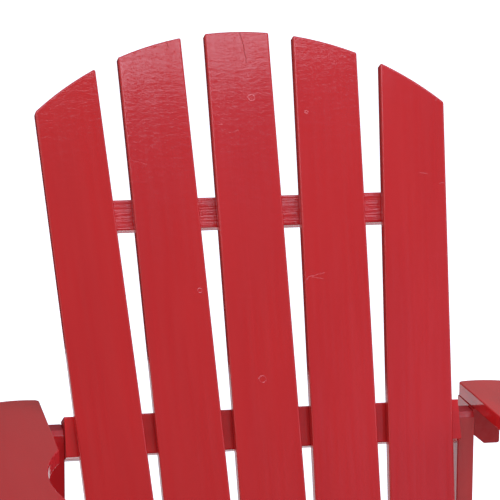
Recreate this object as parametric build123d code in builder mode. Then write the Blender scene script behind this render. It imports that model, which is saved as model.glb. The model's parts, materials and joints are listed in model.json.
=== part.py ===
"""Adirondack garden chair with a fanned, reclined back and scooped flat arms.

Units are millimetres. +Z is up, the sitter faces -Y and the chair is symmetric about X = 0.
The origin is on the ground, under the centre of the chair.
"""
import os
from math import cos, radians, sin, sqrt, tan

from build123d import *

# ---- driving dimensions -------------------------------------------------------------
half_depth = 440  # front of the arms to the origin, and the origin to the rear feet
arm_top = 550  # height of the arms' upper faces

# boards
slat_width = 89
slat_thickness = 17.6
rail_thickness = 19
side_thickness = 23  # stringers, legs and posts
stringer_width = 140
edge_round = 1.6  # eased edges
slat_round = 2.4  # fuller round on the back slats

# back: the fan of slats is laid out on the plane of their front faces
recline = 24.8  # from vertical
back_ref_y = 178  # the back's reference line, level with the arms
back_ref_z = arm_top + 4.5
slat_count = 5
fan_step = 1.908  # degrees between neighbouring slats
fan_radius = 3169  # from the reference line down to the point where the slats' centre lines meet
crown_radius = 428.9  # arc along the tops of the slats
crown_centre = 91.7  # up the back from the reference line
slat_tail = 430  # how far the slats run down past the reference line
crown_corner = 6  # round on the outer corners of the outer slats

upper_batten_low = 249.9
upper_batten_width = 42
upper_batten_half = 248
brace_width = 54
cleat_length = 70
lower_batten_low = -420

# side frames
post_inner = 268  # the inner faces of posts and legs, and the outer faces of the stringers
post_front = back_ref_y + 12
post_depth = 38
post_top = back_ref_z - 26
post_chamfer = 6.5  # on the front edge of the top
leg_front = -410
leg_depth = 89

# seat
seat_slope = 15.5  # down towards the back
seat_rear_height = 252
seat_gap = 8  # between slats, and between the seat and the back
seat_thickness = 19
seat_count = 5
apron_bottom = 248

# arms
arm_thickness = 19
arm_rear = back_ref_y + 102
arm_crown_x = 316  # the furthest point of the rounded rear end
arm_crown_radius = 85
arm_inner_rear = 291.5
arm_bend = (296, back_ref_y - 152)
scoop_depth = 28
scoop_length = 272
arm_inner_front = 258
arm_front_flare = 92  # from the scoop's end to the full width
arm_outer = 398
arm_outer_rear = 376

# block under each arm's rear end, and bracket under its front end
block_width = 38
block_height = 49
block_front = post_front + 8
block_rear = arm_rear - 5
block_chamfer_x = 16.5
block_chamfer_z = 13.8
block_round = 3.2
bracket_reach = 88
bracket_height = 185
bracket_toe = 24
bracket_tip = 22  # height of the free end under the arm
bracket_hollow = (38, 78)  # middle of the curved edge, out from the leg and down from the arm

# fasteners
screw_radius = 2.25
screw_head_radius = 4.2
screw_head_depth = 3.6
drive_size = 2.4
drive_depth = 1.8
bolt_radius = 4
bolt_head_radius = 10
bolt_head_height = 4.6
washer_radius = 10
washer_thickness = 1.6
nut_radius = 7.5
nut_height = 6.5
bolt_tail = 3

# ---- places worked out from them ----------------------------------------------------
post_outer = post_inner + side_thickness
stringer_inner = post_inner - side_thickness
leg_rear = leg_front + leg_depth
arm_underside = arm_top - arm_thickness
rise = tan(radians(seat_slope))
seat_rear_y = back_ref_y + (seat_rear_height - back_ref_z) * tan(radians(recline)) - seat_gap

back_plane = Plane(
    origin=(0, back_ref_y, back_ref_z),
    x_dir=(1, 0, 0),
    z_dir=(0, -cos(radians(recline)), sin(radians(recline))),
)
batten_plane = back_plane.offset(-slat_thickness)
cleat_plane = batten_plane.offset(-rail_thickness)
seat_plane = Plane(
    origin=(0, seat_rear_y, seat_rear_height),
    x_dir=(1, 0, 0),
    z_dir=(0, sin(radians(seat_slope)), cos(radians(seat_slope))),
)
bearing_point = seat_plane.offset(-seat_thickness).origin
sides = {"left": -1, "right": 1}


def bearing_z(y):
    """Height of the stringers' top edges, which carry the seat, at a given depth."""
    return bearing_point.Z + (bearing_point.Y - y) * rise


def stringer_low_z(y):
    """Height of the stringers' lower edges at a given depth."""
    return bearing_z(y) - stringer_width / cos(radians(seat_slope))


def on_plane(plane, x, y):
    """Location on a plane whose Z axis leaves the plane the way the plane's own does."""
    return plane.location * Location((x, y, 0))


def facing(x, y, z, direction):
    """Location at a point whose Z axis points along the given direction."""
    return Plane(origin=(x, y, z), z_dir=direction).location


def slat_lean(index):
    """Angle of a back slat from the chair's centre line, positive towards +X."""
    return (index - (slat_count - 1) / 2) * fan_step


def slat_point(index, along, across):
    """Point of a back slat in the back plane, along and across its own centre line."""
    lean = radians(slat_lean(index))
    reach = fan_radius + along
    x = reach * sin(lean) + across * cos(lean)
    y = reach * cos(lean) - across * sin(lean) - fan_radius
    return x, y


def screw_bodies(places, length):
    """Plain countersunk screws with their heads flush at the places given."""
    align = (Align.CENTER, Align.CENTER, Align.MAX)
    with BuildPart() as bodies:
        with Locations(*places):
            Cylinder(screw_radius, length, align=align)
            Cone(screw_radius, screw_head_radius, screw_head_depth, align=align)
    return bodies.part


def finished_screws(bodies, places):
    """Cut the drive recess in each screw's head."""
    with BuildPart() as screws:
        add(bodies)
        with Locations(*places):
            Box(
                drive_size,
                drive_size,
                drive_depth,
                align=(Align.CENTER, Align.CENTER, Align.MAX),
                mode=Mode.SUBTRACT,
            )
    return screws.part


def save(part, name):
    """Label a finished piece and write it as its own node."""
    part.label = name
    export_step(part, f"parts/{name}.step")


os.makedirs("parts", exist_ok=True)

# ---- screws -------------------------------------------------------------------------
# Each set is laid out once. The boards are cut with the plain bodies, so every screw
# fills its own hole.
slat_screw_spread = 22
batten_screw_length = 31
backs = {}
batten_rows = {
    "upper_batten": upper_batten_low + upper_batten_width / 2,
    "brace": -brace_width / 2,
    "lower_batten": lower_batten_low + brace_width / 2,
}
for row, height in batten_rows.items():
    backs[row] = [
        on_plane(cleat_plane, *slat_point(index, height, across)) * Location((0, 0, 0), (180, 0, 0))
        for index in range(slat_count)
        for across in (-slat_screw_spread, slat_screw_spread)
    ]

seat_pitch = slat_width + seat_gap
seat_screw_spread = 24
side_screw_x = (post_inner + stringer_inner) / 2
seat_centres = [-slat_width / 2 - seat_pitch * index for index in range(seat_count)]
seat_places = [
    on_plane(seat_plane, side * side_screw_x, centre + shift)
    for centre in seat_centres
    for side in (-1, 1)
    for shift in (-seat_screw_spread, seat_screw_spread)
]

leg_screw_x = (post_inner + post_outer) / 2
leg_screw_inset = 24
leg_screw_ys = (leg_front + leg_screw_inset, leg_rear - leg_screw_inset)
leg_top_places = [
    facing(side * leg_screw_x, y, arm_top, (0, 0, 1)) for side in (-1, 1) for y in leg_screw_ys
]

block_low = arm_underside - block_height
block_screw_x = post_outer + block_width - 11
block_screw_ys = (block_front + 32, block_rear - 13)
block_side_screw_y = post_front + post_depth - 13
block_up_places = [
    facing(side * block_screw_x, y, block_low, (0, 0, -1)) for side in (-1, 1) for y in block_screw_ys
]
block_side_places = [
    facing(side * post_inner, block_side_screw_y, z, (-side, 0, 0))
    for side in (-1, 1)
    for z in (block_low + 12, block_low + 26)
]

cleat_middle_plane = cleat_plane.offset(-rail_thickness / 2)
cleat_end_drops = (22, 42)
cleat_end_places = [
    facing(side * post_outer, place.position.Y, place.position.Z, (side, 0, 0))
    for side in (-1, 1)
    for place in (on_plane(cleat_middle_plane, 0, -drop) for drop in cleat_end_drops)
]
cleat_back_plane = cleat_plane.offset(-rail_thickness)
cleat_screw_x = post_inner - 55
cleat_screw_drops = (14, 40)
cleat_back_places = [
    on_plane(cleat_back_plane, side * cleat_screw_x, -drop) * Location((0, 0, 0), (180, 0, 0))
    for side in (-1, 1)
    for drop in cleat_screw_drops
]

bracket_y = (leg_front + leg_rear) / 2
bracket_screw_drops = (40, 130)
bracket_places = [
    facing(side * post_inner, bracket_y, arm_underside - drop, (-side, 0, 0))
    for side in (-1, 1)
    for drop in bracket_screw_drops
]

lower_batten_middle = on_plane(
    batten_plane.offset(-rail_thickness / 2), 0, lower_batten_low + brace_width / 2
).position
stretcher_front = 352
stretcher_low = 34
stretcher_height = 70
stretcher_y = stretcher_front + rail_thickness / 2
stretcher_screw_inset = 18
batten_screw_step = (7, 15)  # from the lower batten's middle, along its slope
rail_end_places = [
    facing(side * post_inner, y, z, (side, 0, 0))
    for side in (-1, 1)
    for y, z in (
        (lower_batten_middle.Y + batten_screw_step[0], lower_batten_middle.Z + batten_screw_step[1]),
        (lower_batten_middle.Y - batten_screw_step[0], lower_batten_middle.Z - batten_screw_step[1]),
        (stretcher_y, stretcher_low + stretcher_screw_inset),
        (stretcher_y, stretcher_low + stretcher_height - stretcher_screw_inset),
    )
]

apron_screw_rises = (18, 56)
apron_places = [
    facing(side * side_screw_x, leg_front, apron_bottom + height, (0, -1, 0))
    for side in (-1, 1)
    for height in apron_screw_rises
]

screw_sets = {
    "upper_batten_screws": (backs["upper_batten"], batten_screw_length),
    "brace_screws": (backs["brace"], batten_screw_length),
    "lower_batten_screws": (backs["lower_batten"], batten_screw_length),
    "seat_screws": (seat_places, 45),
    "arm_front_screws": (leg_top_places, 50),
    "arm_rear_screws": (block_up_places, 62),
    "block_screws": (block_side_places, 40),
    "cleat_end_screws": (cleat_end_places, 50),
    "cleat_screws": (cleat_back_places, 32),
    "bracket_screws": (bracket_places, 45),
    "rail_end_screws": (rail_end_places, 55),
    "apron_screws": (apron_places, 30),
}
bodies = {name: screw_bodies(places, length) for name, (places, length) in screw_sets.items()}
for name, (places, length) in screw_sets.items():
    save(finished_screws(bodies[name], places), name)

# ---- carriage bolts, washers and nuts ------------------------------------------------
post_bolt_y = post_front + post_depth / 2
post_bolts = [(post_bolt_y, 84), (post_bolt_y, 148)]
leg_bolts = [(leg_front + 36, 300), (leg_rear - 18, 240)]


def bolt_places(points):
    """Points on the outer faces of the legs or posts, facing outwards."""
    return [facing(side * post_outer, y, z, (side, 0, 0)) for side in (-1, 1) for y, z in points]


def inner_places(points):
    """The same points on the inner faces of the stringers, facing inwards."""
    return [facing(side * stringer_inner, y, z, (-side, 0, 0)) for side in (-1, 1) for y, z in points]


def carriage_bolts(points):
    """Round-head bolts through a side board and its stringer."""
    grip = 2 * side_thickness + washer_thickness + nut_height + bolt_tail
    head_sphere = (bolt_head_radius**2 + bolt_head_height**2) / (2 * bolt_head_height)
    with BuildPart() as bolts:
        with BuildSketch(Plane.XZ):
            with BuildLine():
                Line((0, -grip), (bolt_radius, -grip))
                Line((bolt_radius, -grip), (bolt_radius, 0))
                Line((bolt_radius, 0), (bolt_head_radius, 0))
                RadiusArc((bolt_head_radius, 0), (0, bolt_head_height), -head_sphere)
                Line((0, bolt_head_height), (0, -grip))
            make_face()
        revolve(axis=Axis.Z)
    with BuildPart() as placed:
        with Locations(*bolt_places(points)):
            add(bolts.part)
    return placed.part


save(carriage_bolts(post_bolts), "post_bolts")
save(carriage_bolts(leg_bolts), "leg_bolts")

with BuildPart() as bolt_washers:
    with Locations(*inner_places(post_bolts + leg_bolts)):
        Cylinder(washer_radius, washer_thickness, align=(Align.CENTER, Align.CENTER, Align.MIN))
        Cylinder(
            bolt_radius,
            washer_thickness,
            align=(Align.CENTER, Align.CENTER, Align.MIN),
            mode=Mode.SUBTRACT,
        )
save(bolt_washers.part, "bolt_washers")

with BuildPart() as one_nut:
    with BuildSketch(Plane.XY.offset(washer_thickness)):
        RegularPolygon(nut_radius, 6)
        Circle(bolt_radius, mode=Mode.SUBTRACT)
    extrude(amount=nut_height)
with BuildPart() as bolt_nuts:
    with Locations(*inner_places(post_bolts + leg_bolts)):
        add(one_nut.part)
save(bolt_nuts.part, "bolt_nuts")


def bolt_holes(points):
    """Straight holes through the side boards for the bolts' shanks."""
    with BuildPart() as holes:
        with Locations(*bolt_places(points)):
            Cylinder(
                bolt_radius,
                2 * side_thickness,
                align=(Align.CENTER, Align.CENTER, Align.MAX),
            )
    return holes.part


post_holes = bolt_holes(post_bolts)
leg_holes = bolt_holes(leg_bolts)

# ---- back -----------------------------------------------------------------------------
slat_length = slat_tail + crown_centre + crown_radius
back_screw_names = ("upper_batten_screws", "brace_screws", "lower_batten_screws")
for index in range(slat_count):
    with BuildPart() as back_slat:
        middle = slat_point(index, slat_length / 2 - slat_tail, 0)
        with BuildSketch(back_plane):
            with Locations(Location((*middle, 0), (0, 0, -slat_lean(index)))):
                Rectangle(slat_width, slat_length)
        extrude(amount=-slat_thickness)
        with BuildSketch(back_plane):
            with Locations((0, crown_centre)):
                Circle(crown_radius)
                Rectangle(2 * crown_radius, slat_length, align=(Align.CENTER, Align.MAX))
        extrude(amount=-slat_thickness, mode=Mode.INTERSECT)
        corners = back_slat.edges().filter_by(Axis((0, 0, 0), back_plane.z_dir))
        top_corners = corners.sort_by(Axis.Z)[-2:].sort_by(Axis.X)
        if index == 0:
            fillet(top_corners[0], crown_corner)
        if index == slat_count - 1:
            fillet(top_corners[1], crown_corner)
        fillet(back_slat.edges(), slat_round)
        for name in back_screw_names:
            add(bodies[name], mode=Mode.SUBTRACT)
    save(back_slat.part, f"back_slat_{index + 1}")


def cross_board(plane, half_length, low, width, cuts):
    """Straight board across the back, behind the given plane, less its screw holes."""
    with BuildPart() as board:
        with BuildSketch(plane):
            with Locations((0, low + width / 2)):
                Rectangle(2 * half_length, width)
        extrude(amount=-rail_thickness)
        fillet(board.edges().filter_by(Axis.X), edge_round)
        for name in cuts:
            add(bodies[name], mode=Mode.SUBTRACT)
    return board.part


save(
    cross_board(
        batten_plane,
        upper_batten_half,
        upper_batten_low,
        upper_batten_width,
        ["upper_batten_screws"],
    ),
    "upper_back_batten",
)
save(
    cross_board(
        batten_plane,
        post_inner,
        -brace_width,
        brace_width,
        ["brace_screws", "cleat_screws"],
    ),
    "arm_level_brace",
)
save(
    cross_board(
        batten_plane,
        stringer_inner,
        lower_batten_low,
        brace_width,
        ["lower_batten_screws", "rail_end_screws"],
    ),
    "lower_back_batten",
)

for side_name, side in sides.items():
    with BuildPart() as brace_cleat:
        with BuildSketch(cleat_plane):
            with Locations((side * (post_inner - cleat_length / 2), -brace_width / 2)):
                Rectangle(cleat_length, brace_width)
        extrude(amount=-rail_thickness)
        fillet(brace_cleat.edges().filter_by(Axis.X), edge_round)
        for name in ("cleat_screws", "cleat_end_screws"):
            add(bodies[name], mode=Mode.SUBTRACT)
    save(brace_cleat.part, f"brace_cleat_{side_name}")

# ---- side frames ----------------------------------------------------------------------
stringer_front = leg_front + rail_thickness
foot_start = bearing_point.Y + (bearing_point.Z - stringer_width / cos(radians(seat_slope))) / rise
stringer_nose_rise = 20  # the clipped lower corner behind the apron
nose_end_y = stringer_front + 60
tail_round = 45
for side_name, side in sides.items():
    inner_face = Plane.YZ.offset(min(side * stringer_inner, side * post_inner))
    with BuildPart() as stringer:
        with BuildSketch(inner_face):
            with BuildLine():
                Polyline(
                    (stringer_front, stringer_low_z(stringer_front) + stringer_nose_rise),
                    (stringer_front, bearing_z(stringer_front)),
                    (half_depth, bearing_z(half_depth)),
                    (half_depth, 0),
                    (foot_start, 0),
                    (nose_end_y, stringer_low_z(nose_end_y)),
                    close=True,
                )
            make_face()
        extrude(amount=side_thickness)
        tail = stringer.edges().filter_by(Axis.X).group_by(Axis.Y)[-1].sort_by(Axis.Z)[-1]
        fillet(tail, tail_round)
        outer_edges = stringer.faces().filter_by(Axis.X).edges()
        fillet(outer_edges, edge_round)
        for name in ("seat_screws", "rail_end_screws", "apron_screws"):
            add(bodies[name], mode=Mode.SUBTRACT)
        add(post_holes, mode=Mode.SUBTRACT)
        add(leg_holes, mode=Mode.SUBTRACT)
    save(stringer.part, f"stringer_{side_name}")

    board_face = Plane.YZ.offset(min(side * post_inner, side * post_outer))
    with BuildPart() as rear_post:
        with BuildSketch(board_face):
            with BuildLine():
                Polyline(
                    (post_front, post_top),
                    (post_front + post_depth, post_top),
                    (post_front + post_depth, stringer_low_z(post_front + post_depth)),
                    (post_front, stringer_low_z(post_front)),
                    close=True,
                )
            make_face()
        extrude(amount=side_thickness)
        front_top = rear_post.edges().filter_by(Axis.X).group_by(Axis.Z)[-1].sort_by(Axis.Y)[0]
        chamfer(front_top, post_chamfer)
        fillet(rear_post.edges(), edge_round)
        for name in ("block_screws", "cleat_end_screws"):
            add(bodies[name], mode=Mode.SUBTRACT)
        add(post_holes, mode=Mode.SUBTRACT)
    save(rear_post.part, f"rear_post_{side_name}")

    with BuildPart() as front_leg:
        with BuildSketch(board_face):
            with Locations(((leg_front + leg_rear) / 2, arm_underside / 2)):
                Rectangle(leg_depth, arm_underside)
        extrude(amount=side_thickness)
        fillet(front_leg.edges().filter_by(Axis.Z), edge_round)
        fillet(front_leg.faces().sort_by(Axis.Z)[0].edges(), edge_round / 2)
        for name in ("arm_front_screws", "bracket_screws"):
            add(bodies[name], mode=Mode.SUBTRACT)
        add(leg_holes, mode=Mode.SUBTRACT)
    save(front_leg.part, f"front_leg_{side_name}")

# ---- seat -----------------------------------------------------------------------------
seat_nose_round = 6
for index, centre in enumerate(reversed(seat_centres)):
    with BuildPart() as seat_slat:
        with BuildSketch(seat_plane):
            with Locations((0, centre)):
                Rectangle(2 * post_inner, slat_width)
        extrude(amount=-seat_thickness)
        if index == 0:
            nose = seat_slat.edges().filter_by(Axis.X).sort_by(Axis.Y)[:2].sort_by(Axis.Z)[-1]
            fillet(nose, seat_nose_round)
        fillet(seat_slat.edges(), edge_round)
        add(bodies["seat_screws"], mode=Mode.SUBTRACT)
    save(seat_slat.part, f"seat_slat_{index + 1}")

with BuildPart() as front_apron:
    with BuildSketch(Plane.YZ.offset(-post_inner)):
        with BuildLine():
            Polyline(
                (leg_front, apron_bottom),
                (leg_front, bearing_z(leg_front)),
                (stringer_front, bearing_z(stringer_front)),
                (stringer_front, apron_bottom),
                close=True,
            )
        make_face()
    extrude(amount=2 * post_inner)
    fillet(front_apron.edges().filter_by(Axis.X).group_by(Axis.Z)[0], edge_round)
    add(bodies["apron_screws"], mode=Mode.SUBTRACT)
save(front_apron.part, "front_apron")

with BuildPart() as rear_stretcher:
    with BuildSketch(Plane.YZ.offset(-stringer_inner)):
        with Locations((stretcher_y, stretcher_low + stretcher_height / 2)):
            Rectangle(rail_thickness, stretcher_height)
    extrude(amount=2 * stringer_inner)
    fillet(rear_stretcher.edges().filter_by(Axis.X), edge_round)
    add(bodies["rail_end_screws"], mode=Mode.SUBTRACT)
save(rear_stretcher.part, "rear_stretcher")

# ---- arms -----------------------------------------------------------------------------
bend_x, bend_y = arm_bend
scoop_end_y = bend_y - scoop_length
scoop_middle = (bend_x + scoop_depth, bend_y - scoop_length / 2)
arm_rear_round = 8
arm_front_round = 30
arm_outer_round = 42


def arm_crown_y(x):
    """Depth of the arm's rounded rear end at a given distance from the centre."""
    return arm_rear - arm_crown_radius + sqrt(arm_crown_radius**2 - (x - arm_crown_x) ** 2)


arm_inner_rear_y = arm_crown_y(arm_inner_rear)
arm_outer_rear_y = arm_crown_y(arm_outer_rear)
flare_end_y = scoop_end_y - arm_front_flare
for side_name, side in sides.items():
    with BuildPart() as arm:
        with BuildSketch(Plane.XY.offset(arm_underside)):
            with BuildLine():
                Line((side * arm_inner_rear, arm_inner_rear_y), (side * bend_x, bend_y))
                ThreePointArc(
                    (side * bend_x, bend_y),
                    (side * scoop_middle[0], scoop_middle[1]),
                    (side * bend_x, scoop_end_y),
                )
                Polyline(
                    (side * bend_x, scoop_end_y),
                    (side * arm_inner_front, flare_end_y),
                    (side * arm_inner_front, -half_depth),
                    (side * arm_outer, -half_depth),
                    (side * arm_outer, 0),
                )
                TangentArc(
                    (side * arm_outer, 0),
                    (side * arm_outer_rear, arm_outer_rear_y),
                    tangent=(0, 1),
                )
                ThreePointArc(
                    (side * arm_outer_rear, arm_outer_rear_y),
                    (side * arm_crown_x, arm_rear),
                    (side * arm_inner_rear, arm_inner_rear_y),
                )
            make_face()
        extrude(amount=arm_thickness)
        upright = arm.edges().filter_by(Axis.Z)
        front_corners = upright.group_by(Axis.Y)[0].sort_by(Axis.X)
        rear_corners = upright.sort_by(Axis.Y)[-2:].sort_by(Axis.X)
        inner = 0 if side > 0 else 1
        outer = 1 - inner
        fillet(front_corners[inner], arm_front_round)
        fillet(front_corners[outer], arm_outer_round)
        fillet(rear_corners[inner], arm_rear_round)
        fillet(rear_corners[outer], arm_front_round)
        fillet(arm.faces().filter_by(Axis.Z).edges(), edge_round)
        for name in ("arm_front_screws", "arm_rear_screws"):
            add(bodies[name], mode=Mode.SUBTRACT)
    save(arm.part, f"arm_{side_name}")

    with BuildPart() as rear_arm_block:
        with BuildSketch(Plane.XZ.offset(-block_front)):
            with BuildLine():
                Polyline(
                    (side * post_outer, arm_underside),
                    (side * (post_outer + block_width), arm_underside),
                    (side * (post_outer + block_width), block_low),
                    (side * (post_outer + block_chamfer_x), block_low),
                    (side * post_outer, block_low + block_chamfer_z),
                    close=True,
                )
            make_face()
        extrude(amount=-(block_rear - block_front))
        lengthwise = rear_arm_block.edges().filter_by(Axis.Y)
        fillet(lengthwise.group_by(Axis.Z)[0], block_round)
        for name in ("arm_rear_screws", "block_screws"):
            add(bodies[name], mode=Mode.SUBTRACT)
    save(rear_arm_block.part, f"rear_arm_block_{side_name}")

    with BuildPart() as front_arm_bracket:
        with BuildSketch(Plane.XZ.offset(-(bracket_y - side_thickness / 2))):
            with BuildLine():
                Polyline(
                    (side * (post_outer + bracket_toe), arm_underside - bracket_height),
                    (side * post_outer, arm_underside - bracket_height),
                    (side * post_outer, arm_underside),
                    (side * (post_outer + bracket_reach), arm_underside),
                    (side * (post_outer + bracket_reach), arm_underside - bracket_tip),
                )
                ThreePointArc(
                    (side * (post_outer + bracket_reach), arm_underside - bracket_tip),
                    (side * (post_outer + bracket_hollow[0]), arm_underside - bracket_hollow[1]),
                    (side * (post_outer + bracket_toe), arm_underside - bracket_height),
                )
            make_face()
        extrude(amount=-side_thickness)
        curved = front_arm_bracket.faces().filter_by(GeomType.CYLINDER).edges()
        fillet(curved.filter_by(GeomType.CIRCLE), edge_round)
        add(bodies["bracket_screws"], mode=Mode.SUBTRACT)
    save(front_arm_bracket.part, f"front_arm_bracket_{side_name}")
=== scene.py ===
import json
from math import cos, pi, radians, sin

import bpy
from mathutils import Matrix, Vector

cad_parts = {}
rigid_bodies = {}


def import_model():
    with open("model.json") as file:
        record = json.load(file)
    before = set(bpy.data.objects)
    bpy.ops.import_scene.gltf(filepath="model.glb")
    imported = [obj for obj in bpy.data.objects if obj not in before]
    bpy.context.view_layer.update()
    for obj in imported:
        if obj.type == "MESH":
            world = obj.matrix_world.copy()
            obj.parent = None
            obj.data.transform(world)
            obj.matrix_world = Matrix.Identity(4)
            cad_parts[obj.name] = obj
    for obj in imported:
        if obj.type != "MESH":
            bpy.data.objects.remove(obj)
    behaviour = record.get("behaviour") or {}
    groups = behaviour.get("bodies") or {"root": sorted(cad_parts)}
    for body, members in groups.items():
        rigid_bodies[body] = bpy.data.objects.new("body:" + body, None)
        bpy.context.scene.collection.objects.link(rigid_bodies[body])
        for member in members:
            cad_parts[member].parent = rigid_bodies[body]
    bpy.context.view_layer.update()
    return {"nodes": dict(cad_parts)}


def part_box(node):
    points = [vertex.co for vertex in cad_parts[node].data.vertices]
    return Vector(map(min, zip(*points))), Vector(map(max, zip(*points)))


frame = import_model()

# ---- sizes and directions shared with the CAD model, in metres ------------------------
RECLINE = radians(24.8)
SEAT_SLOPE = radians(15.5)
FAN_STEP = radians(1.908)
SLAT_COUNT = 5
BACK_REFERENCE = Vector((0, 0.178, 0.5545))  # on the slats' front faces, level with the arms

X_AXIS = Vector((1, 0, 0))
Y_AXIS = Vector((0, 1, 0))
Z_AXIS = Vector((0, 0, 1))
BACK_UP = Vector((0, sin(RECLINE), cos(RECLINE)))
BACK_FRONT = Vector((0, -cos(RECLINE), sin(RECLINE)))
SEAT_REAR = Vector((0, cos(SEAT_SLOPE), -sin(SEAT_SLOPE)))
SEAT_UP = Vector((0, sin(SEAT_SLOPE), cos(SEAT_SLOPE)))


# ---- node helpers ---------------------------------------------------------------------
class Tree:
    """Small wrapper that keeps node code to one line per node."""

    def __init__(self, tree):
        self.tree = tree

    def add(self, kind, **settings):
        node = self.tree.nodes.new(kind)
        for key, value in settings.items():
            setattr(node, key, value)
        return node

    def link(self, source, target):
        self.tree.links.new(source, target)

    def feed(self, value, socket):
        """Link an output, or set a constant."""
        if hasattr(value, "is_output"):
            self.link(value, socket)
        else:
            socket.default_value = value

    def math(self, operation, first, second=0.0, clamp=False):
        node = self.add("ShaderNodeMath", operation=operation, use_clamp=clamp)
        self.feed(first, node.inputs[0])
        self.feed(second, node.inputs[1])
        return node.outputs[0]

    def noise(self, vector, scale, detail=3.0, roughness=0.5, distortion=0.0):
        node = self.add("ShaderNodeTexNoise")
        self.link(vector, node.inputs["Vector"])
        node.inputs["Scale"].default_value = scale
        node.inputs["Detail"].default_value = detail
        node.inputs["Roughness"].default_value = roughness
        node.inputs["Distortion"].default_value = distortion
        return node.outputs["Fac"]

    def stretch(self, vector, scale):
        node = self.add("ShaderNodeVectorMath", operation="MULTIPLY")
        self.link(vector, node.inputs[0])
        node.inputs[1].default_value = scale
        return node.outputs[0]

    def remap(self, value, low, high, to_low=0.0, to_high=1.0):
        node = self.add("ShaderNodeMapRange", interpolation_type="SMOOTHSTEP")
        self.link(value, node.inputs["Value"])
        node.inputs["From Min"].default_value = low
        node.inputs["From Max"].default_value = high
        node.inputs["To Min"].default_value = to_low
        node.inputs["To Max"].default_value = to_high
        return node.outputs["Result"]

    def blend(self, factor, first, second, kind="MIX"):
        node = self.add("ShaderNodeMix", data_type="RGBA", blend_type=kind)
        self.feed(factor, node.inputs[0])
        self.feed(first, node.inputs[6])
        self.feed(second, node.inputs[7])
        return node.outputs[2]

    def mix(self, factor, first, second):
        node = self.add("ShaderNodeMix", data_type="FLOAT")
        self.feed(factor, node.inputs[0])
        self.feed(first, node.inputs[2])
        self.feed(second, node.inputs[3])
        return node.outputs[0]

    def bump(self, height, distance, normal=None):
        node = self.add("ShaderNodeBump")
        self.link(height, node.inputs["Height"])
        node.inputs["Distance"].default_value = distance
        node.inputs["Strength"].default_value = 1.0
        if normal is not None:
            self.link(normal, node.inputs["Normal"])
        return node.outputs[0]


def new_material(name):
    material = bpy.data.materials.new(name)
    material.use_nodes = True
    tree = Tree(material.node_tree)
    shader = material.node_tree.nodes["Principled BSDF"]
    return material, tree, shader


def board_coordinates(tree, along, normal, origin):
    """Place on a board in metres: x along the grain, y across the face, z through it."""
    across = normal.cross(along).normalized()
    place = tree.add("ShaderNodeTexCoord").outputs["Object"]
    shifted = tree.add("ShaderNodeVectorMath", operation="SUBTRACT")
    tree.link(place, shifted.inputs[0])
    shifted.inputs[1].default_value = origin
    joined = tree.add("ShaderNodeCombineXYZ")
    for axis, socket in zip((along, across, normal), joined.inputs):
        dot = tree.add("ShaderNodeVectorMath", operation="DOT_PRODUCT")
        tree.link(shifted.outputs[0], dot.inputs[0])
        dot.inputs[1].default_value = axis
        tree.link(dot.outputs["Value"], socket)
    return joined.outputs[0]


def parts_of(tree, vector):
    """The x, y and z outputs of a vector."""
    split = tree.add("ShaderNodeSeparateXYZ")
    tree.link(vector, split.inputs[0])
    return split.outputs


# ---- materials ------------------------------------------------------------------------
RED = (0.555, 0.017, 0.0180, 1)
RED_DEEP = (0.525, 0.015, 0.0165, 1)
# a lighter red that stands in for light a board catches (painted light)
RED_PAINTED_LIGHT = (0.70, 0.017, 0.019, 1)
# a darker red that stands in for shade a board sits in (painted shade)
RED_PAINTED_SHADE = (0.42, 0.013, 0.015, 1)
RED_CHALKY = (0.60, 0.024, 0.028, 1)
# worn paint on scratches, and a painted highlight on knot rims
RED_WEAR_AND_HIGHLIGHT = (0.66, 0.075, 0.080, 1)
RED_END_GRAIN = (0.40, 0.012, 0.013, 1)
RED_CRACK = (0.16, 0.005, 0.006, 1)
ZINC_DARK = (0.42, 0.43, 0.45, 1)
ZINC_LIGHT = (0.62, 0.63, 0.64, 1)

# Noise fields of a painted board: frequencies per metre along, across and through it, then the
# noise's detail, roughness and distortion.
PATTERNS = {
    "brush": ((9, 480, 480), 3.0, 0.6, 0.0),
    "streak": ((5, 130, 130), 3.0, 0.6, 0.0),
    "cloud": ((3, 14, 14), 3.0, 0.5, 0.0),
    "grain": ((2.6, 250, 250), 3.0, 0.6, 0.4),
    "rough_grain": ((8, 300, 300), 3.0, 0.6, 0.4),
    "swell": ((9, 24, 24), 2.0, 0.5, 0.0),
    "planer": ((75, 14, 14), 2.0, 0.55, 0.5),
    "dimple": ((170, 110, 110), 4.0, 0.65, 0.8),
}
# The values of a field over which its effect on the paint grows from none to full.
SPANS = {
    "brush": (0.25, 0.75),
    "streak": (0.30, 0.70),
    "cloud": (0.35, 0.68),
    "grain": (0.58, 0.80),
}
# Depth of the relief that each field makes, in metres.
RELIEF = {
    "swell": 0.00030,
    "planer": 0.00008,
    "dimple": 0.00012,
    "grain": 0.00005,
    "rough_grain": 0.00070,
    "marks": 0.0003,
}
SEED_STEPS = (1.37, 0.71, 0.53)  # metres between two boards' places in the noise
GLOSS = (0.055, 0.11)  # least and most roughness of the paint
END_GRAIN_DULLING = 0.45  # roughness that end grain adds
END_GRAIN_SLOPE = (0.75, 0.92)  # cosine to the grain where end grain starts and is full
SPECULAR = (0.43, 0.57)  # least and most specular level of the paint
CHALKINESS = 0.30  # most chalky colour along the grain
WANDER_SCALE = 160
WANDER = 0.003  # metres between the furthest strays of a drawn line to either side

SCREW_BLOT_SCALE = 900
SCREW_ROUGHNESS = (0.32, 0.5)
SCREW_RELIEF = 0.0002
ZINC_CELL_SCALE = 420
ZINC_PATCH_SCALE = 260
ZINC_ROUGHNESS = (0.28, 0.46)
ZINC_RELIEF = 0.0001

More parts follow.
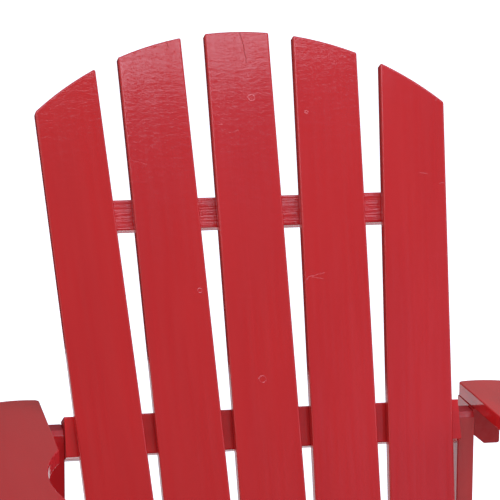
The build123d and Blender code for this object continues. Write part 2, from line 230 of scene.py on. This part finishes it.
# Small faults under and in the paint: kind, then two points along and across the board from its
# centre, or a knot's centre and radius, all in millimetres.
MARKS = {
    "back_slat_3": [
        ("crack", (480, -3), (455, -8)),
        ("crack", (455, -8), (430, -10.5)),
        ("knot", (380, -13.5), 4.2),
        ("knot", (-10, 2), 4.5),
    ],
    "back_slat_2": [
        ("crack", (470, -23), (459, -26)),
        ("scratch", (304, 41), (297, 21)),
        ("knot", (118, -33), 3.0),
    ],
    "back_slat_4": [
        ("scratch", (121, 47), (132, 38)),
        ("scratch", (132, 38), (137.5, 16)),
        ("scratch", (132, 34), (129, 18)),
        ("knot", (362, 30), 2.0),
    ],
    "back_slat_5": [
        ("scratch", (408, -39), (403, -35)),
        ("scratch", (299, -10), (298, -20)),
        ("scratch", (286, -44), (285, -37)),
    ],
    "arm_right": [("knot", (-110, 22), 5.0), ("scratch", (-250, 10), (-190, 14))],
    "arm_left": [("knot", (60, -30), 4.0), ("scratch", (-280, -20), (-235, -12))],
    "seat_slat_2": [("scratch", (-60, 12), (40, 8)), ("knot", (150, -18), 6.0)],
    "seat_slat_4": [("knot", (-120, 14), 5.0), ("crack", (262, 10), (225, 13))],
}
# How each kind of mark shows: the distances in metres at which it is full and gone, the strength
# and colour of its tint, and how far it stands out of the relief. A knot's lighter pink rim is a
# painted highlight; a scratch's lighter pink is worn paint.
MARK_LOOKS = {
    "knot": (0.0, 0.0012, 0.22, RED_WEAR_AND_HIGHLIGHT, 0.5),
    "crack": (0.0001, 0.0007, 0.42, RED_CRACK, -1.0),
    "scratch": (0.0001, 0.0006, 0.5, RED_WEAR_AND_HIGHLIGHT, -0.4),
}
# How far out of the back's plane a slat was fixed, as a slope along its length.
BOARD_LAY = {
    "back_slat_1": 0.030,
    "back_slat_2": 0.006,
    "back_slat_4": 0.008,
    "back_slat_5": 0.012,
}
# Boards whose open grain still shows as ridges under the paint.
ROUGH_SAWN = ("upper_back_batten", "lower_back_batten", "rear_stretcher")
# Boards painted a lighter red as painted light, for the light they catch, and boards painted a
# darker red as painted shade, for the shade they sit in.
PAINTED_LIGHT_BOARDS = ROUGH_SAWN + ("arm_level_brace", "arm_right")
PAINTED_SHADE_BOARDS = ("rear_post_left", "rear_post_right", "brace_cleat_left", "brace_cleat_right")


def pattern(tree, local, name):
    size, detail, roughness, distortion = PATTERNS[name]
    return tree.noise(tree.stretch(local, size), 1.0, detail, roughness, distortion)


def wobble(tree, local):
    """A slight sideways wander, in metres, that keeps drawn lines from being straight."""
    swing = tree.math("SUBTRACT", tree.noise(local, WANDER_SCALE, 2.0, 0.6), 0.5)
    return tree.math("MULTIPLY", swing, WANDER)


def end_grain_factor(tree, along):
    """1 on sawn ends, where the paint soaks in and dries dull, 0 along the board."""
    facing = tree.add("ShaderNodeVectorMath", operation="DOT_PRODUCT")
    tree.link(tree.add("ShaderNodeTexCoord").outputs["Normal"], facing.inputs[0])
    facing.inputs[1].default_value = along
    return tree.remap(tree.math("ABSOLUTE", facing.outputs["Value"]), *END_GRAIN_SLOPE)


def paint_tones(name):
    """The darker and the lighter red of a board's paint; the lighter pair is painted light, the
    darker pair painted shade.
    """
    if name in PAINTED_LIGHT_BOARDS:
        return RED, RED_PAINTED_LIGHT
    if name in PAINTED_SHADE_BOARDS:
        return RED_PAINTED_SHADE, RED_DEEP
    return RED_DEEP, RED


def along_segment(tree, flat, start, end):
    """Distance in metres from a point on the face to a short straight line."""
    first = Vector((start[0], start[1], 0)) / 1000
    reach = Vector((end[0], end[1], 0)) / 1000 - first
    offset = tree.add("ShaderNodeVectorMath", operation="SUBTRACT")
    tree.link(flat, offset.inputs[0])
    offset.inputs[1].default_value = first
    along = tree.add("ShaderNodeVectorMath", operation="DOT_PRODUCT")
    tree.link(offset.outputs[0], along.inputs[0])
    along.inputs[1].default_value = reach / reach.length_squared
    held = tree.math("ADD", along.outputs["Value"], 0.0, clamp=True)
    foot = tree.add("ShaderNodeVectorMath", operation="SCALE")
    foot.inputs[0].default_value = reach
    tree.link(held, foot.inputs["Scale"])
    gap = tree.add("ShaderNodeVectorMath", operation="DISTANCE")
    tree.link(offset.outputs[0], gap.inputs[0])
    tree.link(foot.outputs[0], gap.inputs[1])
    return gap.outputs["Value"]


def around_ring(tree, flat, centre, radius):
    """Distance in metres from a point on the face to a knot's rim."""
    gap = tree.add("ShaderNodeVectorMath", operation="DISTANCE")
    tree.link(flat, gap.inputs[0])
    gap.inputs[1].default_value = Vector((centre[0], centre[1], 0)) / 1000
    return tree.math("ABSOLUTE", tree.math("SUBTRACT", gap.outputs["Value"], radius / 1000))


def add_marks(tree, marks, place, wander, colour):
    """Lay a board's cracks, knots and scratches over its colour; also returns their relief."""
    along, across, _ = parts_of(tree, place)
    joined = tree.add("ShaderNodeCombineXYZ")
    tree.link(along, joined.inputs[0])
    tree.link(tree.math("ADD", across, wander), joined.inputs[1])
    flat = joined.outputs[0]
    relief = None
    for kind, first, second in marks:
        full, gone, mark_tint, mark_tint_colour, rise = MARK_LOOKS[kind]
        distance = around_ring if kind == "knot" else along_segment
        edge = tree.remap(distance(tree, flat, first, second), full, gone, 1.0, 0.0)
        # on a knot this lightens the rim as a painted highlight
        colour = tree.blend(tree.math("MULTIPLY", edge, mark_tint), colour, mark_tint_colour)
        height = tree.math("MULTIPLY", edge, rise)
        relief = height if relief is None else tree.math("ADD", relief, height)
    return colour, relief


def painted_wood(name, along, normal, origin, seed):
    """Glossy red paint brushed over planed boards; planer ripples and grain show in its sheen."""
    material, tree, shader = new_material("paint_" + name)
    place = board_coordinates(tree, along, normal, origin)
    moved = tree.add("ShaderNodeVectorMath", operation="ADD")
    tree.link(place, moved.inputs[0])
    moved.inputs[1].default_value = [seed * step for step in SEED_STEPS]
    local = moved.outputs[0]
    grain_kind = "rough_grain" if name in ROUGH_SAWN else "grain"
    grain = pattern(tree, local, grain_kind)

    # Painted-light boards get a lighter pair of reds, painted-shade boards a darker pair.
    dark, light = paint_tones(name)
    cloud = tree.remap(pattern(tree, local, "cloud"), *SPANS["cloud"])
    colour = tree.blend(cloud, dark, light)
    colour = tree.blend(tree.remap(grain, *SPANS["grain"], 0.0, CHALKINESS), colour, RED_CHALKY)
    colour, mark_relief = add_marks(tree, MARKS.get(name, []), place, wobble(tree, local), colour)
    end_grain = end_grain_factor(tree, along)
    colour = tree.blend(end_grain, colour, RED_END_GRAIN)
    tree.link(colour, shader.inputs["Base Color"])

    gloss = tree.remap(pattern(tree, local, "brush"), *SPANS["brush"], *GLOSS)
    dulling = tree.math("MULTIPLY", end_grain, END_GRAIN_DULLING)
    tree.link(tree.math("ADD", gloss, dulling), shader.inputs["Roughness"])
    specular = tree.remap(pattern(tree, local, "streak"), *SPANS["streak"], *SPECULAR)
    tree.link(specular, shader.inputs["Specular IOR Level"])
    shader.inputs["IOR"].default_value = 1.5

    shape = tree.bump(pattern(tree, local, "swell"), RELIEF["swell"])
    if name in BOARD_LAY:
        shape = tree.bump(parts_of(tree, place)[0], BOARD_LAY[name], shape)
    for kind in ("planer", "dimple"):
        shape = tree.bump(pattern(tree, local, kind), RELIEF[kind], shape)
    shape = tree.bump(grain, RELIEF[grain_kind], shape)
    if mark_relief is not None:
        shape = tree.bump(mark_relief, RELIEF["marks"], shape)
    tree.link(shape, shader.inputs["Normal"])
    return material


def painted_screw():
    """Screw heads under the same paint, a little uneven round the drive recess."""
    material, tree, shader = new_material("painted_screw")
    place = tree.add("ShaderNodeTexCoord").outputs["Object"]
    blot = tree.noise(place, SCREW_BLOT_SCALE, 2.0, 0.5)
    tree.link(tree.blend(tree.remap(blot, 0.35, 0.7), RED_DEEP, RED), shader.inputs["Base Color"])
    tree.link(tree.remap(blot, 0.3, 0.7, *SCREW_ROUGHNESS), shader.inputs["Roughness"])
    tree.link(tree.bump(blot, SCREW_RELIEF), shader.inputs["Normal"])
    return material


def zinc_steel():
    """Zinc plating with a faint spangle and dull patches."""
    material, tree, shader = new_material("zinc_steel")
    place = tree.add("ShaderNodeTexCoord").outputs["Object"]
    cells = tree.add("ShaderNodeTexVoronoi")
    tree.link(place, cells.inputs["Vector"])
    cells.inputs["Scale"].default_value = ZINC_CELL_SCALE
    patch = tree.noise(place, ZINC_PATCH_SCALE, 3.0, 0.6)
    tone = tree.blend(tree.remap(patch, 0.3, 0.7), ZINC_DARK, ZINC_LIGHT)
    spangle = tree.blend(0.25, tone, cells.outputs["Color"], "SOFT_LIGHT")
    tree.link(spangle, shader.inputs["Base Color"])
    tree.link(tree.remap(patch, 0.3, 0.7, *ZINC_ROUGHNESS), shader.inputs["Roughness"])
    tree.link(tree.bump(patch, ZINC_RELIEF), shader.inputs["Normal"])
    shader.inputs["Metallic"].default_value = 1.0
    return material


# ---- which way the grain runs in each board -------------------------------------------
def slat_direction(number):
    lean = (number - 1 - (SLAT_COUNT - 1) / 2) * FAN_STEP
    return (X_AXIS * sin(lean) + BACK_UP * cos(lean)).normalized()


def board_axes(name):
    """Grain direction and face normal of a board."""
    if name.startswith("back_slat_"):
        return slat_direction(int(name[-1])), BACK_FRONT
    if "batten" in name or "brace" in name:
        return X_AXIS, BACK_FRONT
    if name.startswith("arm_"):
        return Y_AXIS, Z_AXIS
    if name.startswith("seat_slat_"):
        return X_AXIS, SEAT_UP
    if name.startswith("stringer_"):
        return SEAT_REAR, X_AXIS
    if name in ("front_apron", "rear_stretcher"):
        return X_AXIS, Y_AXIS
    if name.startswith("rear_arm_block"):
        return Y_AXIS, X_AXIS
    if name.startswith("front_arm_bracket"):
        return Z_AXIS, Y_AXIS
    return Z_AXIS, X_AXIS


def node_centre(name):
    low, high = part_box(name)
    return (Vector(low) + Vector(high)) / 2


def dress(name, material):
    mesh = bpy.data.objects[name].data
    mesh.materials.clear()
    mesh.materials.append(material)


screw_paint = painted_screw()
zinc = zinc_steel()
for seed, name in enumerate(sorted(frame["nodes"])):
    if name.endswith("_screws"):
        dress(name, screw_paint)
    elif name.endswith(("_bolts", "_washers", "_nuts")):
        dress(name, zinc)
    else:
        along, normal = board_axes(name)
        dress(name, painted_wood(name, along, normal, node_centre(name), seed + 1))


# ---- camera ---------------------------------------------------------------------------
VIEW_AZIMUTH = radians(11.24)
VIEW_ELEVATION = radians(11.57)
VIEW_ROLL = radians(0.31)
VIEW_DISTANCE = 3.647
LENS = 197.6
SENSOR_WIDTH = 36
AIM_LEFT = 0.0213
AIM_UP = 0.2065


def place_camera():
    """Put the camera at the photograph's angle; returns where it stands."""
    azimuth, elevation = VIEW_AZIMUTH, VIEW_ELEVATION
    forward = Vector((sin(azimuth) * cos(elevation), cos(azimuth) * cos(elevation), -sin(elevation)))
    level = Vector((cos(azimuth), -sin(azimuth), 0))
    over = level.cross(forward)
    right = cos(VIEW_ROLL) * level + sin(VIEW_ROLL) * over
    up = -sin(VIEW_ROLL) * level + cos(VIEW_ROLL) * over
    aim = BACK_REFERENCE - AIM_LEFT * right + AIM_UP * up
    data = bpy.data.cameras.new("camera")
    data.lens = LENS
    data.sensor_width = SENSOR_WIDTH
    data.clip_end = 100
    camera = bpy.data.objects.new("camera", data)
    turn = Matrix((right, up, -forward)).transposed().to_4x4()
    camera.matrix_world = Matrix.Translation(aim - VIEW_DISTANCE * forward) @ turn
    bpy.context.scene.collection.objects.link(camera)
    bpy.context.scene.camera = camera
    return camera.matrix_world.translation.copy()


eye = place_camera()


# ---- studio ---------------------------------------------------------------------------
BLACK = (0, 0, 0, 1)
WHITE = (1, 1, 1, 1)

FLOOR_HALF = 30.0
FLOOR_DROP = 0.0005  # the sheets lie just under the chair's feet, the one that is seen on top
FLOOR_GLOW = 0.70
FLOOR_TONES = ((0.86, 0.86, 0.86, 1), (0.90, 0.90, 0.90, 1))
BOUNCE_RADIUS = 2.6
BOUNCE_DROP = 0.001
BOUNCE_GLOW = 0.22
BOUNCE_TINT = (1, 0.90, 0.80, 1)

SHEEN_HEIGHT = 0.476  # where the softbox's lower edge mirrors in the back, above arm level
SOFTBOX_DISTANCE = 2.6
SOFTBOX_SIZE = (3.8, 0.92)
SOFTBOX_LEVEL = 3.35
SOFTBOX_TILT = radians(5)
SOFTBOX_COLOUR = (0.98, 0.96, 1.08)

CHAIR_MIDDLE = Vector((0, 0.1, 0.6))
# Square fill lights aimed at the chair: place, side and radiance.
FILLS = {
    "fill_right": ((2.0, -1.2, 1.9), 1.4, 1.1),
    "fill_low_right": ((1.7, -1.1, 0.8), 1.0, 0.9),
    "fill_left": ((-2.6, 0.0, 1.2), 1.6, 0.7),
}

# The room light's ramps over the x, y or z part of a direction: where a ramp starts and ends, then
# its levels there, 0 and 1 if not given.
BEHIND_OVER_X = (0.05, 0.32, 0.16, 0.27)
FRONT_OVER_Z = (0.15, 0.55, 0.12, 0.37)
FRONT_SIDE_OVER_Y = (0.3, -0.3)
LEFT_OVER_X = (-0.40, -0.85, 0.0, 0.45)
HORIZON_OVER_Z = (-0.02, 0.02, 0.28, 1.0)
SKY_OVER_Z = (0.59, 0.70)
TOP_OVER_Z = (0.72, 0.95)
WINDOW_OVER_X = (0.18, 0.27)
WINDOW_OVER_Y = (0.0, -0.3)
WINDOW_OVER_Z = (0.60, 0.54)
SKY_LIGHT = (0.14, 0.36, 0.74, 1)
TOP_LIGHT = (0.30, 0.18, 0.0, 1)
WINDOW_LIGHT = (0.45, 0.20, 0.42, 1)


def floor_material(name, glow, tint):
    material, tree, shader = new_material(name)
    place = tree.add("ShaderNodeTexCoord").outputs["Object"]
    base = tree.blend(tree.noise(place, 3.0, 3.0, 0.5), *FLOOR_TONES)
    tree.link(tree.blend(1.0, base, tint, "MULTIPLY"), shader.inputs["Base Color"])
    shader.inputs["Roughness"].default_value = 0.8
    shader.inputs["Specular IOR Level"].default_value = 0.2
    shader.inputs["Emission Color"].default_value = tint
    shader.inputs["Emission Strength"].default_value = glow
    return material


def flat_sheet(name, outline, height, material):
    mesh = bpy.data.meshes.new(name)
    mesh.from_pydata([(x, y, height) for x, y in outline], [], [list(range(len(outline)))])
    mesh.materials.append(material)
    sheet = bpy.data.objects.new(name, mesh)
    bpy.context.scene.collection.objects.link(sheet)
    return sheet


def pale_floor():
    """White floor: the camera sees one sheet, and a round one bounces light onto the chair."""
    square = [(-1, -1), (1, -1), (1, 1), (-1, 1)]
    corners = [(x * FLOOR_HALF, y * FLOOR_HALF) for x, y in square]
    paint = floor_material("pale_floor", FLOOR_GLOW, WHITE)
    seen = flat_sheet("floor_seen", corners, -FLOOR_DROP, paint)
    seen.visible_diffuse = False
    seen.visible_glossy = False
    seen.visible_shadow = False
    turns = [radians(angle) for angle in range(0, 360, 5)]
    circle = [(BOUNCE_RADIUS * cos(turn), BOUNCE_RADIUS * sin(turn)) for turn in turns]
    paint = floor_material("bounce_floor", BOUNCE_GLOW, BOUNCE_TINT)
    bounce = flat_sheet("floor_bounce", circle, -BOUNCE_DROP, paint)
    bounce.visible_camera = False


def soft_light(name, place, face, up, size, level, colour=(1, 1, 1)):
    """Area light of the given radiance, facing along face, its height along up."""
    light = bpy.data.lights.new(name, "AREA")
    light.shape = "RECTANGLE"
    light.size, light.size_y = size
    light.energy = level * pi * size[0] * size[1]
    light.color = colour
    lamp = bpy.data.objects.new(name, light)
    side = up.cross(-face).normalized()
    lamp.matrix_world = Matrix.Translation(place) @ Matrix((side, up, -face)).transposed().to_4x4()
    bpy.context.scene.collection.objects.link(lamp)


def softbox_above(eye):
    """The key light: its lower edge mirrors in the back just below the slats' tops."""
    edge_point = BACK_REFERENCE + SHEEN_HEIGHT * BACK_UP
    depth = (eye - edge_point).dot(BACK_FRONT)
    mirrored_eye = eye - 2 * depth * BACK_FRONT
    ray = (edge_point - mirrored_eye).normalized()
    level_side = ray.cross(Z_AXIS).normalized()
    side = (Matrix.Rotation(SOFTBOX_TILT, 3, ray) @ level_side).normalized()
    up = side.cross(ray).normalized()
    place = edge_point + SOFTBOX_DISTANCE * ray + up * SOFTBOX_SIZE[1] / 2
    soft_light("softbox_above", place, -ray, up, SOFTBOX_SIZE, SOFTBOX_LEVEL, SOFTBOX_COLOUR)


def fill_light(name, place, side, level):
    face = (CHAIR_MIDDLE - place).normalized()
    across = face.cross(Z_AXIS).normalized()
    soft_light(name, place, face, across.cross(face).normalized(), (side, side), level)


def studio_world():
    """Soft room light, dimmer behind and below the horizon; the camera itself sees white."""
    world = bpy.data.worlds.new("studio")
    world.use_nodes = True
    tree = Tree(world.node_tree)
    background = world.node_tree.nodes["Background"]
    x_part, y_part, z_part = parts_of(tree, tree.add("ShaderNodeTexCoord").outputs["Generated"])

    behind = tree.remap(x_part, *BEHIND_OVER_X)
    front = tree.remap(z_part, *FRONT_OVER_Z)
    level = tree.mix(tree.remap(y_part, *FRONT_SIDE_OVER_Y), behind, front)
    level = tree.math("ADD", level, tree.remap(x_part, *LEFT_OVER_X))
    level = tree.math("MULTIPLY", level, tree.remap(z_part, *HORIZON_OVER_Z))

    sky = tree.blend(tree.remap(z_part, *SKY_OVER_Z), BLACK, SKY_LIGHT)
    top = tree.blend(tree.remap(z_part, *TOP_OVER_Z), BLACK, TOP_LIGHT)
    opening = tree.remap(x_part, *WINDOW_OVER_X)
    opening = tree.math("MULTIPLY", opening, tree.remap(z_part, *WINDOW_OVER_Z))
    opening = tree.math("MULTIPLY", opening, tree.remap(y_part, *WINDOW_OVER_Y))
    window = tree.blend(opening, BLACK, WINDOW_LIGHT)
    room = tree.blend(1.0, level, sky, "ADD")
    room = tree.blend(1.0, room, tree.blend(1.0, top, window, "ADD"), "ADD")

    seen = tree.add("ShaderNodeLightPath").outputs["Is Camera Ray"]
    tree.link(tree.blend(seen, room, WHITE), background.inputs["Color"])
    bpy.context.scene.world = world


pale_floor()
studio_world()
softbox_above(eye)
for name, (place, side, level) in FILLS.items():
    fill_light(name, Vector(place), side, level)

bpy.context.scene.view_settings.view_transform = "Standard"
